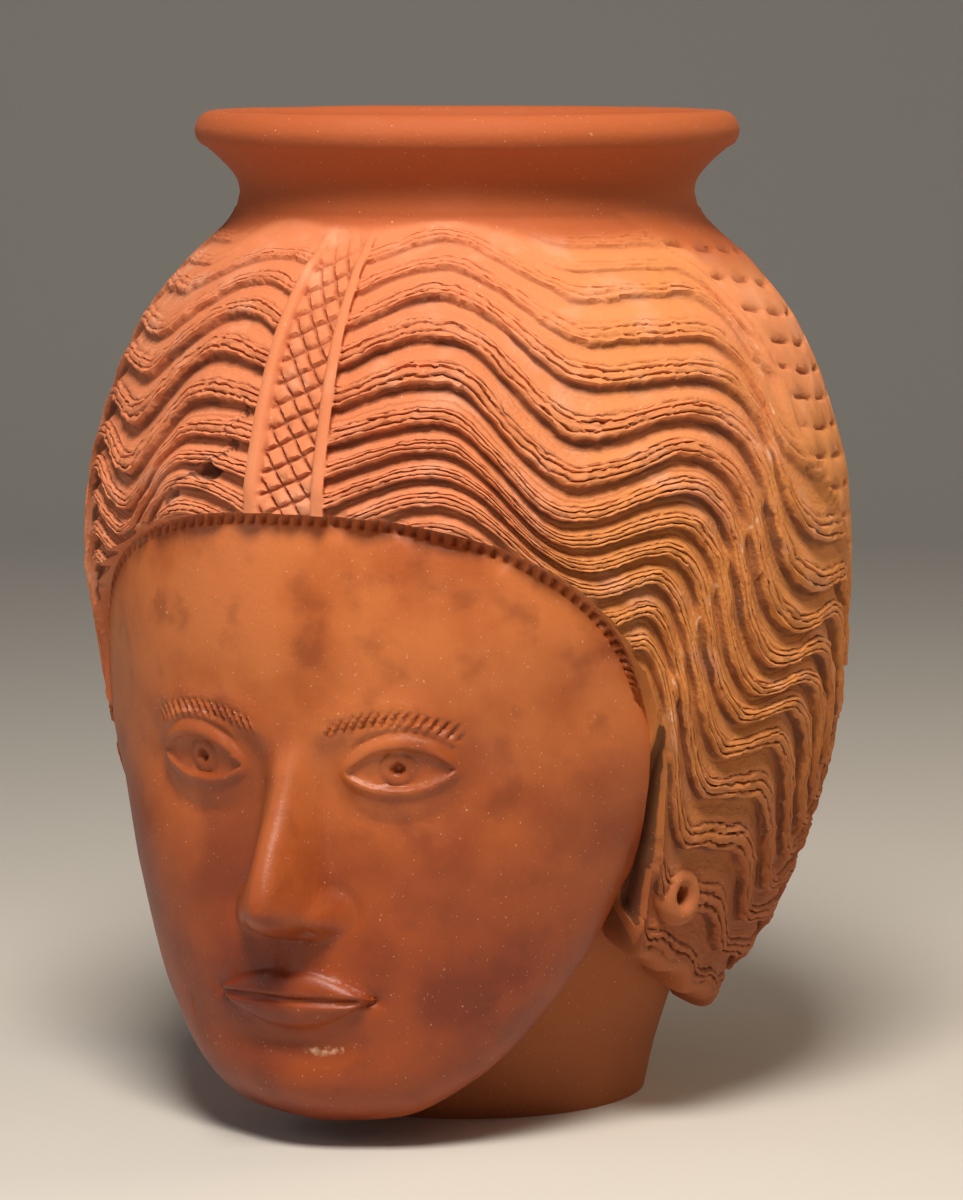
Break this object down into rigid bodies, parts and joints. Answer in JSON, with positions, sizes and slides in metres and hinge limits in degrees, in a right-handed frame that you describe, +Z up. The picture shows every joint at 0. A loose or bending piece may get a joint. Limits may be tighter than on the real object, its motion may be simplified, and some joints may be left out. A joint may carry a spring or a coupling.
{
  "type": "face pot",
  "caption": "Hollow fired-clay pot shaped as a life-size head, with a face, carved wavy hair, a back plait, a neck that stands as its foot and a wide rolled rim.",
  "frame": {"origin": "centre of the flat underside, on the axis of the rim", "axes": "+Z up along the axis of the rim, the face looks along -Y, +X toward the left hand of the head"},
  "size_m": [0.2287, 0.2497, 0.295],
  "materials": {
    "fired_clay": "matt"
  },
  "bodies": {
    "root": {"head_pot": "fired_clay"}
  },
  "joints": []
}
